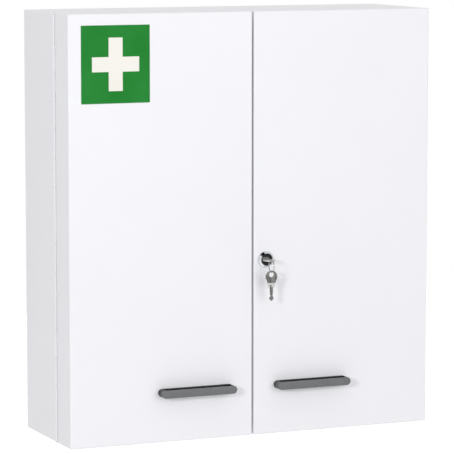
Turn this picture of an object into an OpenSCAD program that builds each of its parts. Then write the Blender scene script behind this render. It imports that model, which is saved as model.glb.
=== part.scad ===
// Lockable wall cabinet for medicines: a folded sheet-steel body with shelves, and two deep
// tray doors on continuous hinges, with a cam lock, a slide bolt, handles and a first-aid sign.
//
// Frame: seen from the front, +X points right, +Y into the wall and +Z up. The origin is the
// centre of the four wall holes on the back face. "side" is -1 for left and 1 for right.

/* [Cabinet] */
// Width of the cabinet over both doors
cabinet_w = 550; // [460:10:700]
// Height of the cabinet
cabinet_h = 600; // [520:10:800]
// Depth from the wall to the face of the doors
cabinet_d = 180; // [165:5:260]
// Depth of the two door trays
door_d = 53; // [44:1:64]
// Gap between the body and the closed doors
seam = 3; // [2.6:0.1:3.6]
// Gap between the two doors
door_gap = 3; // [2:0.5:5]
// Thickness of the sheet steel
sheet = 1; // [0.8:0.1:1.2]
// Outer radius of the bends in the sheet
bend_r = 2; // [1.8:0.1:2.6]
// Width of the flange round the front opening of the body
body_flange = 15; // [13:1:18]
// Width of the flange round the back of each door tray
door_flange = 12; // [12:1:15]

/* [Wall holes] */
// Diameter of the four wall holes
wall_hole_d = 8; // [5:0.5:10]
// Distance from the cabinet's side to the wall holes
wall_hole_in = 50; // [30:1:80]
// Distance from the cabinet's top and bottom to the wall holes
wall_hole_down = 60; // [30:1:90]
// Depth of the flange round the back panel
back_flange = 12; // [8:1:20]

/* [Shelves] */
// Height of the lip round each shelf
shelf_lip = 15; // [10:1:22]
// Depth of the hem under the front lip of a shelf
shelf_hem = 8; // [5:1:12]
// Free space between a shelf and the back panel
shelf_back_gap = 4; // [2:1:10]
// Free space between a shelf and the front flange of the body
shelf_front_gap = 7; // [3:1:12]
// Width of the slotted uprights that carry the shelves
upright_w = 16; // [14:1:20]
// Depth of the slotted uprights
upright_d = 6; // [5:0.5:8]
// Distance from the front and back of the body to the middle of an upright
upright_in = 26; // [22:1:34]
// Pitch of the slots in the uprights
slot_pitch = 25; // [20:5:40]
// Width of the shelf clips
clip_w = 9; // [6:0.5:10]
// Thickness of the shelf clips
clip_t = 1.5; // [1.2:0.1:2]

/* [Door bins] */
// Free space between the lock's nut and the floor of the lower bin
bin_over_lock = 26; // [10:1:50]
// Distance from the lower bin's floor to the upper bin's floor
bin_spacing = 150; // [100:5:155]
// Height of a bin's walls
bin_lip = 35; // [25:1:45]
// Height of the low wall of a bin along the door's face
bin_low_lip = 12; // [8:1:18]
// Height of the bottom rail above the bottom of the cabinet
rail_up = 46; // [30:1:80]
// Height of the bottom rail itself
rail_h = 28; // [20:1:40]
// Length of the bent tabs at the ends of the bottom rail
rail_tab = 16; // [10:1:24]

/* [Hinges] */
// Radius of the hinge barrels
barrel_r = 1.9; // [1.7:0.05:2]
// Radius of the hinge pins
hinge_pin_r = 1; // [0.8:0.05:1.1]
// Thickness of the hinge leaves
leaf_t = 0.9; // [0.7:0.05:1]
// Width of the hinge leaves from the pin's axis
leaf_w = 11; // [8:0.5:12]
// Distance from the cabinet's side out to the pin's axis
hinge_out = 0.5; // [0.5:0.1:0.8]
// Space left above and below each hinge
hinge_end = 2.5; // [1:0.5:20]
// Number of knuckles in each hinge, which is odd
knuckle_count = 15; // [11:2:19]

/* [Handles] */
// Length of a handle
handle_len = 113; // [100:1:124]
// Height of a handle
handle_h = 11.4; // [10.5:0.1:13]
// How far a handle stands out from the door
handle_out = 19; // [16:1:26]
// Distance from the middle of the cabinet to the middle of a handle
handle_x = 88.4; // [76:0.1:110]
// Height of the handles' middle above the bottom of the cabinet
handle_up = 70.5; // [50:0.5:160]
// Thickness of the front of a handle
handle_front = 3.5; // [2.5:0.5:5]
// Thickness of the back of a handle
handle_back = 2.5; // [2:0.5:4]
// Thickness of a handle under its finger trough
handle_floor = 2.8; // [2:0.1:3.2]
// Radius of the rounded front edge of a handle
handle_edge_r = 1.4; // [0.6:0.1:2]
// Distance between the two screws of a handle
handle_screw_gap = 84; // [70:1:88]
// Diameter of the handle screws
handle_screw_d = 3.5; // [3:0.5:4.5]

/* [Lock] */
// Height of the lock above the bottom of the cabinet
lock_up = 250.5; // [225:0.5:252]
// Distance from the right door's free edge to the lock
lock_in = 17.2; // [14:0.1:19]
// Diameter of the lock's rosette
rosette_d = 23.2; // [21.6:0.1:26]
// How far the rosette stands out from the door
rosette_t = 5.5; // [4.5:0.1:6.5]
// Diameter of the lock's barrel
barrel_d = 18; // [17:0.5:19]
// Length of the lock's barrel behind the door's face
barrel_len = 24.5; // [24:0.5:27]
// Diameter of the plug's face
plug_face_d = 14.6; // [13.6:0.1:15]
// Diameter of the plug behind its face
plug_d = 12; // [11.6:0.1:12.4]
// Depth of the plug's face below the front of the rosette
plug_recess = 2.6; // [1.4:0.1:3.2]
// Reach of the lock's cam from the lock's axis
cam_reach = 30; // [28:0.5:32]
// Width of the cam
cam_w = 12; // [10:0.5:13]
// Thickness of the cam
cam_t = 2.5; // [2:0.1:3]

/* [Keys] */
// Overall length of a key
key_len = 42.8; // [41:0.1:43.4]
// Thickness of a key
key_t = 1.6; // [1.4:0.05:1.7]
// Width of a key's bow
bow_w = 17.5; // [16:0.1:19]
// Length of a key's bow
bow_len = 18.5; // [18:0.1:20]
// Diameter of the hole in the bow
key_hole_d = 7.4; // [7:0.1:7.8]
// Width of the rim between the hole and the end of the bow
key_rim = 2; // [1.8:0.1:2.2]
// Width of the collar under the bow
collar_w = 9.8; // [8.6:0.1:10.2]
// Length of the collar
collar_len = 5; // [4:0.1:6]
// Width of the blade
blade_w = 6.4; // [5.8:0.1:6.8]
// Inner radius of the key ring
ring_r = 8.4; // [8:0.1:9.8]
// Thickness of the key ring's wire, measured across the ring
ring_wire = 1; // [0.9:0.05:1.1]

/* [Slide bolt] */
// Travel of the slide bolt
bolt_travel = 14; // [12:0.5:15]
// Width of the slide bolt
bolt_w = 8; // [6:0.5:8]
// Thickness of the slide bolt
bolt_t = 2.5; // [2:0.1:3]
// Length of the slide bolt
bolt_len = 58; // [54:1:66]
// Diameter of the bolt's knob
knob_d = 8; // [6:0.5:9]
// Height of the bolt's knob
knob_h = 8; // [5:0.5:10]
// Height of each of the two bridges that guide the bolt
bridge_h = 10; // [7:0.5:11]

/* [Sign] */
// Width of the first-aid sign
sign_w = 100.5; // [80:0.5:130]
// Height of the first-aid sign
sign_h = 107; // [80:0.5:130]
// Distance from the left side of the cabinet to the sign
sign_in = 18.7; // [10:0.1:40]
// Distance from the top of the cabinet to the sign
sign_down = 15.8; // [10:0.1:40]
// Thickness of the sign
sign_t = 0.5; // [0.3:0.1:1]
// Width of the white cross
cross_w = 69; // [50:0.5:76]
// Height of the white cross
cross_h = 73.2; // [50:0.5:76]
// Width of the cross's arms
arm_w = 20.5; // [14:0.5:26]

/* [Buffers] */
// Diameter of the rubber door buffers
buffer_d = 9; // [7:0.5:11]
// Free space between a buffer and the closed door
buffer_gap = 0.4; // [0.3:0.1:0.8]

/* [Hidden] */
$fn = 48;

// Clearances
running_fit = 0.05;     // round parts that turn in each other, on the radius
loose_fit = 0.1;        // parts that slip into each other
part_gap = 0.3;         // moving parts that never touch
cut = 1;                // how far a cutting shape runs past what it cuts

// Finishes
white_paint = "white";
zinc = "silver";
chrome = "lightsteelblue";
nickel = "darkgray";
grey_plastic = "dimgray";
rubber = "black";
sign_green = "seagreen";

// Planes and centre lines
half_w = cabinet_w / 2;
half_h = cabinet_h / 2;
body_d = cabinet_d - door_d - seam;
face_y = -cabinet_d;
door_back_y = face_y + door_d;
body_front_y = -body_d;
door_w = half_w - door_gap / 2;
door_x = (door_gap + door_w) / 2;
inner_w = cabinet_w - 2 * sheet;
inner_h = cabinet_h - 2 * sheet;

// Shelves stand on slots, so their heights are whole pitches from the middle
shelf_step = slot_pitch * round(inner_h / 4 / slot_pitch);
shelf_end_gap = 1;
shelf_w = inner_w - 2 * (upright_d + shelf_end_gap);
shelf_front_y = body_front_y + sheet + shelf_front_gap;
shelf_back_y = -sheet - shelf_back_gap;
upright_end = 10;
upright_h = inner_h - 2 * upright_end;
front_upright_y = body_front_y + upright_in;
rear_upright_y = -upright_in;
slot_w = clip_w + 2 * part_gap;
slot_h = clip_t + 2 * part_gap;
slot_reach = floor((upright_h / 2 - slot_pitch / 2) / slot_pitch);
clip_reach = 9;         // how far a clip stands out under the shelf
clip_hook = 4;          // drop of the hook behind the upright
clip_stop = 7;          // drop of the stop in front of the upright

// Door bins and bottom rails fill the tray from wall to wall
bin_w = door_w - 2 * sheet - 2 * loose_fit;
bin_front_y = face_y + sheet + loose_fit;
bin_back_y = door_back_y - sheet - 2;

// Hinges
hinge_x = half_w + hinge_out;
hinge_y = body_front_y - seam / 2;
hinge_len = cabinet_h - 2 * hinge_end;
knuckle_pitch = hinge_len / knuckle_count;
knuckle_len = knuckle_pitch - 0.4;
pin_end = 0.8;          // how far the pin stands out of the last knuckle

// Handles
handle_z = handle_up - half_h;
handle_r = handle_h / 2;
trough_end = 5.5;       // solid left at each end of the finger trough
trough_corner_r = 2.5;
boss_r = handle_screw_d / 2 + 1.5;
boss_len = handle_out * 0.6;
handle_screw_r = handle_screw_d / 2;
handle_screw_len = boss_len - 1.5;
screw_head_t = 2.4;

// Lock, drawn with its axis along z: 0 is the door's face and + is out of the door
lock_x = door_gap / 2 + lock_in;
lock_z = lock_up - half_h;
barrel_r_lock = barrel_d / 2;
flat_half = barrel_r_lock - 1;          // two flats stop the barrel turning in the door
rosette_foot = 0.8;     // straight edge of the rosette before it tapers
rosette_rim = 0.8;      // width of its rim round the mouth
mouth_r = plug_face_d / 2 + running_fit;
mouth_flare = 1.15;     // how much wider the mouth is at the rim
plug_front = rosette_t - plug_recess;
plug_head_len = 3;
plug_end = -barrel_len - 0.5;
nut_t = 4;
nut_flats = 24;
lower_bin_z = lock_z + nut_flats / 2 / cos(30) + bin_over_lock;
upper_bin_z = lower_bin_z + bin_spacing;
tail_w = 6;
tail_len = cam_t - 0.1;
cam_hub_r = 8;
cam_screw_r = 1.6;
cam_screw_head_r = 4.5;
cam_screw_head_t = 2.4;
cam_screw_len = 5;
cam_front_y = face_y - plug_end;
slot_gap = 2.5;                         // room round the cam in the doors' edges
cam_drop = sqrt(pow(cam_reach, 2) - pow(lock_in - sheet, 2));

// Keys, drawn from the end of the bow along -y
key_foot = plug_front + 0.8;            // height of the foot of the inserted key's bow
bow_r = bow_w / 2;
bow_foot = 6;                           // half the bow's width where it meets the collar
bow_side = bow_r - 0.5;                 // half the width that the bow's tapered part starts from
key_hole_at = key_rim + key_hole_d / 2;
cut_depths = [0.3, 1.1, 0.5, 1.4, 0.8, 1.8];
cut_pitch = 2;
tip_w = 7;
tip_len = 5.6;
groove_w = 1.1;
groove_d = 0.35;
key_tip_y = face_y - key_foot - bow_len;
keyway_end = key_foot + bow_len - key_len - part_gap;

// Key ring, in the plane x = lock_x, hung over the rim of the inserted key's bow
ring_play = 0.3;
ring_y = key_tip_y + key_rim / 2;
ring_z = lock_z + key_t / 2 + ring_play - ring_r;
coil_t = 0.66;
coil_overlap = 0.02;
ring_mean_r = ring_r + ring_wire / 2;
spare_top_z = ring_z - ring_r + ring_play + key_rim;

// Slide bolt on the left door's free edge; its top end slides behind the body's front flange
bolt_x = -(door_gap + door_flange) / 2;
bolt_front_y = body_front_y + sheet + 0.4;
bolt_top_z = half_h - body_flange - 2;
guide_t = 1.2;
guide_w = door_flange - 0.4;
guide_top_z = bolt_top_z - 2;
upper_bridge_z = guide_top_z - bridge_h;
knob_z = upper_bridge_z - part_gap - bolt_travel - knob_d / 2;
lower_bridge_z = knob_z - knob_d / 2 - part_gap - bridge_h;
guide_back_y = bolt_front_y + bolt_t + part_gap + guide_t;
guide_rivet_r = 1.5;
guide_rivet_head_r = 2.6;
guide_rivet_head_t = 0.8;
guide_foot = 8;         // length of the guide's foot below the lower bridge

// Sign
sign_x = -half_w + sign_in + sign_w / 2;
sign_z = half_h - sign_down - sign_h / 2;
cross_t = 0.2;

// Buffers
buffer_x = door_gap / 2 + door_flange + 10;
buffer_z = half_h - body_flange / 2;
buffer_stem_r = 2;
buffer_bulb_r = 2.9;
buffer_bulb_t = 1.6;
buffer_head_t = seam - buffer_gap;

// ---- Shared forms ----

// A rectangle centred on the origin, with round corners
module round_rect(w, h, r) {
    square([w - 2 * r, h], center = true);
    square([w, h - 2 * r], center = true);
    for (x = [-1, 1], y = [-1, 1])
        translate([x * (w / 2 - r), y * (h / 2 - r)]) circle(r);
}

// A block centred on the origin, with every edge rounded to the radius of a bend
module bent_block(w, d, h, r) {
    intersection() {
        linear_extrude(h, center = true) round_rect(w, d, r);
        rotate([90, 0, 0]) linear_extrude(d, center = true) round_rect(w, h, r);
        rotate([90, 0, 90]) linear_extrude(w, center = true) round_rect(d, h, r);
    }
}

// A closed sheet-metal box centred on the origin
module sheet_box(w, d, h) {
    difference() {
        bent_block(w, d, h, bend_r);
        bent_block(w - 2 * sheet, d - 2 * sheet, h - 2 * sheet, bend_r - sheet);
    }
}

// A box from one corner to the other
module box_between(low, high) {
    translate(low) cube(high - low);
}

// A disc or rod along +z with its upper edge rounded
module round_edged_disc(r, h, edge) {
    rotate_extrude() {
        square([r - edge, h]);
        square([r, h - edge]);
        translate([r - edge, h - edge]) circle(edge);
    }
}

// A pan-head screw along -z, with the underside of its head at z = 0
module pan_screw(r, len, head_r, head_t) {
    difference() {
        union() {
            translate([0, 0, -len]) cylinder(h = len + head_t / 2, r = r);
            round_edged_disc(head_r, head_t, head_t * 0.45);
        }
        for (a = [0, 90]) rotate(a)
            translate([0, 0, head_t]) cube([head_r * 1.1, head_r * 0.24, head_t], center = true);
    }
}

// Moves a form drawn on the door's face, with z pointing out of the door, to its place
module on_face(x, z) {
    translate([x, face_y, z]) rotate([90, 0, 0]) children();
}

// ---- Body ----

// The four walls of the body, with a flange round the front opening
module carcass() {
    color(white_paint) difference() {
        intersection() {
            sheet_box(cabinet_w, 2 * body_d, cabinet_h);
            box_between([-cabinet_w, -2 * body_d, -cabinet_h], [cabinet_w, 0, cabinet_h]);
        }
        translate([0, body_front_y, 0])
            cube([cabinet_w - 2 * body_flange, 4 * sheet, cabinet_h - 2 * body_flange], center = true);
        for (x = [-1, 1], z = [-1, 1]) translate([x * buffer_x, body_front_y - cut, z * buffer_z])
            rotate([-90, 0, 0]) cylinder(h = sheet + 2 * cut, r = buffer_stem_r + running_fit);
    }
}

// The back, a shallow tray welded into the body, with the four wall holes
module back_panel() {
    panel_w = inner_w - 2 * loose_fit;
    panel_h = inner_h - 2 * loose_fit;
    color(white_paint) difference() {
        intersection() {
            translate([0, -back_flange, 0]) sheet_box(panel_w, 2 * back_flange, panel_h);
            box_between([-cabinet_w, -back_flange, -cabinet_h], [cabinet_w, 0, cabinet_h]);
        }
        for (x = [-1, 1], z = [-1, 1])
            translate([x * (half_w - wall_hole_in), cut, z * (half_h - wall_hole_down)])
                rotate([90, 0, 0]) cylinder(h = sheet + 2 * cut, d = wall_hole_d);
    }
}

// One slotted upright, a channel with its open side against the wall of the body
module upright(side, y) {
    color(zinc) difference() {
        translate([side * inner_w / 2, y, 0]) linear_extrude(upright_h, center = true)
            difference() {
                round_rect(2 * upright_d, upright_w, bend_r);
                round_rect(2 * (upright_d - sheet), upright_w - 2 * sheet, bend_r - sheet);
                translate([side * upright_d, 0]) square([2 * upright_d, 2 * upright_w], center = true);
            }
        for (k = [-slot_reach:slot_reach])
            translate([side * (inner_w / 2 - upright_d), y, k * slot_pitch - shelf_lip - clip_t / 2])
                cube([4 * sheet, slot_w, slot_h], center = true);
    }
}

// One shelf with a lip all round and a hem under its front lip
module shelf(z) {
    depth = shelf_back_y - shelf_front_y;
    color(white_paint) translate([0, shelf_front_y + depth / 2, z]) {
        intersection() {
            translate([0, 0, -shelf_lip]) sheet_box(shelf_w, depth, 2 * shelf_lip);
            translate([0, 0, -shelf_lip / 2]) cube([shelf_w + cut, depth + cut, shelf_lip], center = true);
        }
        box_between([-shelf_w / 2 + bend_r, -depth / 2 + sheet / 2, -shelf_lip],
                    [shelf_w / 2 - bend_r, -depth / 2 + shelf_hem, -shelf_lip + sheet]);
    }
}

// One shelf clip: a tongue through a slot, with a hook behind the upright and a stop before it
module shelf_clip(side, y, shelf_z) {
    hook_x = sheet + loose_fit;
    outline = [
        [-clip_reach, 0], [hook_x + clip_t, 0], [hook_x + clip_t, -clip_t - clip_hook],
        [hook_x, -clip_t - clip_hook], [hook_x, -clip_t], [-loose_fit, -clip_t],
        [-loose_fit, -clip_stop], [-loose_fit - clip_t, -clip_stop],
        [-loose_fit - clip_t, -clip_t], [-clip_reach, -clip_t]
    ];
    translate([side * (inner_w / 2 - upright_d), y, shelf_z - shelf_lip]) rotate([90, 0, 0])
        linear_extrude(clip_w, center = true) polygon([for (p = outline) [side * p.x, p.y]]);
}

// Four clips under each of the three shelves
module shelf_clips() {
    color(zinc) for (side = [-1, 1], y = [front_upright_y, rear_upright_y], level = [-1, 0, 1])
        shelf_clip(side, y, level * shelf_step);
}

// Push-in rubber buffers in the front flange, which the closing doors meet
module door_buffers() {
    color(rubber) for (x = [-1, 1], z = [-1, 1])
        translate([x * buffer_x, body_front_y, z * buffer_z]) rotate([90, 0, 0]) {
            round_edged_disc(buffer_d / 2, buffer_head_t, 0.8);
            translate([0, 0, -sheet - 0.2]) cylinder(h = sheet + 1, r = buffer_stem_r);
            translate([0, 0, -sheet - buffer_bulb_t])
                cylinder(h = buffer_bulb_t, r1 = buffer_stem_r - 0.6, r2 = buffer_bulb_r);
        }
}

// ---- Hinges ----

// One leaf of a continuous hinge. The body's leaf has the even knuckles, the door's the odd ones
module hinge_leaf(side, first, plate_y) {
    color(white_paint) translate([side * hinge_x, hinge_y, 0]) difference() {
        union() {
            plate_in = barrel_r + part_gap;
            translate([-side * (plate_in + leaf_w) / 2, plate_y, 0])
                cube([leaf_w - plate_in, leaf_t, hinge_len], center = true);
            for (k = [first:2:knuckle_count - 1])
                translate([0, 0, (k + 0.5) * knuckle_pitch - hinge_len / 2]) {
                    cylinder(h = knuckle_len, r = barrel_r, center = true);
                    translate([-side * barrel_r, plate_y, 0])
                        cube([2 * barrel_r, leaf_t, knuckle_len], center = true);
                }
        }
        cylinder(h = hinge_len + 2 * cut, r = hinge_pin_r + running_fit, center = true);
    }
}

module body_leaf(side) {
    hinge_leaf(side, 0, (seam - leaf_t) / 2);
}

module door_leaf(side) {
    hinge_leaf(side, 1, -(seam - leaf_t) / 2);
}

module hinge_pin(side) {
    color(zinc) translate([side * hinge_x, hinge_y, 0])
        cylinder(h = hinge_len + 2 * pin_end, r = hinge_pin_r, center = true);
}

// ---- Doors ----

// A deep tray with flanges round its open back, drilled for its handle and slotted for the cam
module door_tray(side) {
    difference() {
        translate([side * door_x, face_y + door_d / 2, 0]) difference() {
            sheet_box(door_w, door_d, cabinet_h);
            translate([0, door_d / 2, 0])
                cube([door_w - 2 * door_flange, 4 * sheet, cabinet_h - 2 * door_flange], center = true);
        }
        for (s = [-1, 1]) on_face(side * handle_x + s * handle_screw_gap / 2, handle_z)
            cylinder(h = 4 * sheet, r = handle_screw_r + loose_fit, center = true);
        box_between([side * door_gap / 2 - 2 * sheet, cam_front_y - slot_gap, lock_z - cam_drop - slot_gap],
                    [side * door_gap / 2 + 2 * sheet, cam_front_y + cam_t + slot_gap,
                     lock_z + cam_w / 2 + slot_gap]);
    }
}

module left_door_shell() {
    color(white_paint) difference() {
        door_tray(-1);
        for (z = guide_rivet_z())
            translate([bolt_x, door_back_y, z]) rotate([90, 0, 0])
                cylinder(h = 4 * sheet, r = guide_rivet_r + loose_fit, center = true);
    }
}

module right_door_shell() {
    color(white_paint) difference() {
        door_tray(1);
        on_face(lock_x, lock_z) intersection() {
            cylinder(h = 4 * sheet, r = barrel_r_lock + loose_fit, center = true);
            cube([barrel_d + cut, 2 * (flat_half + loose_fit), 4 * sheet], center = true);
        }
    }
}

// A bin across the inside of a door: high walls at the back and ends, a low one at the face
module door_bin(side, floor_z) {
    depth = bin_back_y - bin_front_y;
    color(white_paint) translate([side * door_x, (bin_front_y + bin_back_y) / 2, floor_z])
        intersection() {
            translate([0, 0, bin_lip]) sheet_box(bin_w, depth, 2 * bin_lip);
            union() {
                translate([0, bend_r, bin_lip / 2]) cube([bin_w + cut, depth, bin_lip], center = true);
                translate([0, 0, bin_low_lip / 2])
                    cube([bin_w + cut, depth + cut, bin_low_lip], center = true);
            }
        }
}

// The rail that holds in what stands on the bottom of a door
module bottom_rail(side) {
    depth = rail_tab + bend_r;
    color(white_paint) translate([side * door_x, bin_back_y - depth, rail_up - half_h])
        linear_extrude(rail_h) intersection() {
            difference() {
                round_rect(bin_w, 2 * depth, bend_r);
                round_rect(bin_w - 2 * sheet, 2 * (depth - sheet), bend_r - sheet);
            }
            translate([0, depth / 2]) square([bin_w, depth], center = true);
        }
}

// A moulded handle with a finger trough open at the top and two screw bosses inside
module handle(side) {
    half_run = handle_len / 2 - handle_r;
    trough_d = handle_out - handle_front - handle_back;
    color(grey_plastic) on_face(side * handle_x, handle_z) difference() {
        union() {
            difference() {
                union() {
                    for (s = [-1, 1]) translate([s * half_run, 0, 0])
                        round_edged_disc(handle_r, handle_out, handle_edge_r);
                    rotate([90, 0, 90]) linear_extrude(2 * half_run, center = true) for (s = [0, 1])
                        mirror([s, 0]) {
                            square([handle_r - handle_edge_r, handle_out]);
                            square([handle_r, handle_out - handle_edge_r]);
                            translate([handle_r - handle_edge_r, handle_out - handle_edge_r])
                                circle(handle_edge_r);
                        }
                }
                translate([0, handle_r + cut, handle_back + trough_d / 2]) rotate([90, 0, 0])
                    linear_extrude(handle_h - handle_floor + cut)
                        round_rect(handle_len - 2 * trough_end, trough_d, trough_corner_r);
            }
            for (s = [-1, 1]) translate([s * handle_screw_gap / 2, 0, 0])
                cylinder(h = boss_len, r = boss_r);
        }
        for (s = [-1, 1]) translate([s * handle_screw_gap / 2, 0, -cut])
            cylinder(h = handle_screw_len + cut, r = handle_screw_r + running_fit);
    }
}

// Two screws that go through the door from the inside into the handle's bosses
module handle_screws(side) {
    color(zinc) for (s = [-1, 1])
        on_face(side * handle_x + s * handle_screw_gap / 2, handle_z)
            translate([0, 0, -sheet]) rotate([180, 0, 0])
                pan_screw(handle_screw_r, handle_screw_len, handle_screw_r * 2, screw_head_t);
}

module sign_plate() {
    color(sign_green) on_face(sign_x, sign_z) linear_extrude(sign_t)
        square([sign_w, sign_h], center = true);
}

module sign_cross() {
    color(white_paint) on_face(sign_x, sign_z) translate([0, 0, sign_t]) linear_extrude(cross_t) {
        square([cross_w, arm_w], center = true);
        square([arm_w, cross_h], center = true);
    }
}

// ---- Slide bolt ----

// Heights of the two rivets that hold the bolt's guide to the door
function guide_rivet_z() = [
    lower_bridge_z - guide_foot / 2,
    (knob_z + knob_d / 2 + upper_bridge_z) / 2
];

// A foot plate with two bridges that the bolt slides in
module bolt_guide() {
    slide_w = bolt_w + 2 * part_gap;
    color(zinc) difference() {
        union() {
            box_between([bolt_x - guide_w / 2, door_back_y, lower_bridge_z - guide_foot],
                        [bolt_x + guide_w / 2, door_back_y + guide_t, guide_top_z]);
            for (z = [lower_bridge_z, upper_bridge_z])
                box_between([bolt_x - guide_w / 2, door_back_y, z],
                            [bolt_x + guide_w / 2, guide_back_y, z + bridge_h]);
        }
        box_between([bolt_x - slide_w / 2, bolt_front_y - part_gap, lower_bridge_z - cut],
                    [bolt_x + slide_w / 2, bolt_front_y + bolt_t + part_gap, guide_top_z + cut]);
        for (z = guide_rivet_z()) translate([bolt_x, door_back_y, z]) rotate([90, 0, 0])
            cylinder(h = 4 * guide_t, r = guide_rivet_r + loose_fit, center = true);
    }
}

module bolt_guide_rivets() {
    color(zinc) for (z = guide_rivet_z()) translate([bolt_x, door_back_y, z]) rotate([90, 0, 0]) {
        translate([0, 0, -guide_t - guide_rivet_head_t / 2])
            cylinder(h = sheet + guide_t + guide_rivet_head_t, r = guide_rivet_r);
        translate([0, 0, -guide_t]) mirror([0, 0, 1])
            round_edged_disc(guide_rivet_head_r, guide_rivet_head_t, 0.4);
        translate([0, 0, sheet]) round_edged_disc(guide_rivet_head_r, guide_rivet_head_t, 0.4);
    }
}

// The flat bar, with its top end rounded
module bolt_bar() {
    color(zinc) translate([bolt_x, bolt_front_y + bolt_t, bolt_top_z]) rotate([90, 0, 0])
        linear_extrude(bolt_t) difference() {
            union() {
                translate([0, -bolt_w / 2]) circle(bolt_w / 2);
                translate([-bolt_w / 2, -bolt_len]) square([bolt_w, bolt_len - bolt_w / 2]);
            }
            translate([0, knob_z - bolt_top_z]) circle(1.5 + loose_fit);
        }
}

// The knob that is pushed with a thumb, riveted through the bar
module bolt_knob() {
    color(zinc) translate([bolt_x, bolt_front_y + bolt_t, knob_z]) rotate([-90, 0, 0]) {
        translate([0, 0, -bolt_t]) cylinder(h = bolt_t + 1, r = 1.5);
        rotate_extrude() {
            square([knob_d / 2 * 0.7, knob_h - 1]);
            translate([0, knob_h - 3]) square([knob_d / 2 - 1, 3]);
            translate([0, knob_h - 2.2]) square([knob_d / 2, 1.2]);
            translate([knob_d / 2 - 1, knob_h - 1]) circle(1);
            translate([knob_d / 2 - 1, knob_h - 2.2]) circle(0.8);
        }
    }
}

// ---- Lock ----

// Threaded barrel with two flats behind a rosette that tapers to the mouth's rim
module lock_body() {
    bore_step = plug_front - plug_head_len - loose_fit;
    rim_r = mouth_r + mouth_flare + rosette_rim;
    color(chrome) on_face(lock_x, lock_z) difference() {
        union() {
            cylinder(h = rosette_foot, d = rosette_d);
            translate([0, 0, rosette_foot])
                cylinder(h = rosette_t - rosette_foot, r1 = rosette_d / 2, r2 = rim_r);
            intersection() {
                translate([0, 0, -barrel_len]) cylinder(h = barrel_len + 1, r = barrel_r_lock);
                cube([barrel_d + cut, 2 * flat_half, 3 * barrel_len], center = true);
            }
        }
        translate([0, 0, -barrel_len - cut])
            cylinder(h = barrel_len + rosette_t + 2 * cut, r = plug_d / 2 + running_fit);
        translate([0, 0, bore_step])
            cylinder(h = rosette_t - bore_step + cut, r = mouth_r);
        translate([0, 0, plug_front])
            cylinder(h = plug_recess + 0.01, r1 = mouth_r, r2 = mouth_r + mouth_flare);
    }
}

module lock_nut() {
    color(chrome) on_face(lock_x, lock_z) translate([0, 0, -sheet - nut_t]) difference() {
        cylinder(h = nut_t, r = nut_flats / 2 / cos(30), $fn = 6);
        translate([0, 0, -cut]) cylinder(h = nut_t + 2 * cut, r = barrel_r_lock + loose_fit);
    }
}

// The plug turns in the barrel; its square tail carries the cam
module lock_plug() {
    color(chrome) on_face(lock_x, lock_z) difference() {
        union() {
            translate([0, 0, plug_front - plug_head_len]) cylinder(h = plug_head_len, d = plug_face_d);
            translate([0, 0, plug_end]) cylinder(h = plug_front - plug_end - 1, d = plug_d);
            translate([0, 0, plug_end - tail_len / 2 + 0.5])
                cube([tail_w, tail_w, tail_len + 1], center = true);
        }
        keyway_h = key_t + 2 * part_gap;
        collar_end = key_foot - collar_len - part_gap;
        box_between([-blade_w / 2 - part_gap, -keyway_h / 2, keyway_end],
                    [blade_w / 2 + part_gap, keyway_h / 2, rosette_t]);
        box_between([-collar_w / 2 - loose_fit, -keyway_h / 2, collar_end],
                    [collar_w / 2 + loose_fit, keyway_h / 2, rosette_t]);
        translate([0, 0, plug_end - tail_len - cut])
            cylinder(h = cam_screw_len + cut, r = cam_screw_r + loose_fit);
    }
}

// The cam hangs down while the lock is open and turns to point at the left door
module lock_cam() {
    color(zinc) on_face(lock_x, lock_z) translate([0, 0, plug_end - cam_t]) linear_extrude(cam_t)
        difference() {
            union() {
                circle(cam_hub_r);
                translate([-cam_w / 2, -cam_reach + cam_w / 2]) square([cam_w, cam_reach - cam_w / 2]);
                translate([0, -cam_reach + cam_w / 2]) circle(cam_w / 2);
            }
            square(tail_w + 2 * loose_fit, center = true);
        }
}

module cam_screw() {
    color(zinc) on_face(lock_x, lock_z) translate([0, 0, plug_end - cam_t]) rotate([180, 0, 0])
        pan_screw(cam_screw_r, cam_screw_len - 1, cam_screw_head_r, cam_screw_head_t);
}

// ---- Keys ----

// A flat key with its bow's end at the origin and its blade along -y, cut on both edges
module key() {
    blade_at = bow_len + collar_len;
    edge = concat(
        [[blade_w / 2, -blade_at]],
        [for (k = [0:len(cut_depths) - 1])
            [blade_w / 2 - cut_depths[k], -blade_at - (k + 0.8) * cut_pitch]],
        [[tip_w / 2, tip_len * 0.6 - key_len], [tip_w / 2 - 0.5, tip_len * 0.45 - key_len],
         [0.8, -key_len]]
    );
    color(nickel) difference() {
        union() {
            translate([0, -bow_r, 0]) cylinder(h = key_t, r = bow_r, center = true);
            linear_extrude(key_t, center = true) polygon(concat(
                [[-bow_foot, -bow_len], [-bow_side, -bow_r], [bow_side, -bow_r], [bow_foot, -bow_len],
                 [collar_w / 2, -bow_len], [collar_w / 2, -blade_at]],
                edge, [for (k = [len(edge) - 1:-1:0]) [-edge[k].x, edge[k].y]],
                [[-collar_w / 2, -blade_at], [-collar_w / 2, -bow_len]]
            ));
        }
        translate([0, -key_hole_at, 0]) cylinder(h = 2 * key_t, d = key_hole_d, center = true);
        for (s = [-1, 1]) translate([0, -key_len, s * key_t / 2])
            cube([groove_w, 2 * (key_len - blade_at - 1), 2 * groove_d], center = true);
    }
}

module inserted_key() {
    translate([lock_x, key_tip_y, lock_z]) rotate([0, 0, 180]) key();
}

module spare_key() {
    translate([lock_x, ring_y, spare_top_z]) rotate([90, 0, 0]) key();
}

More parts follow.
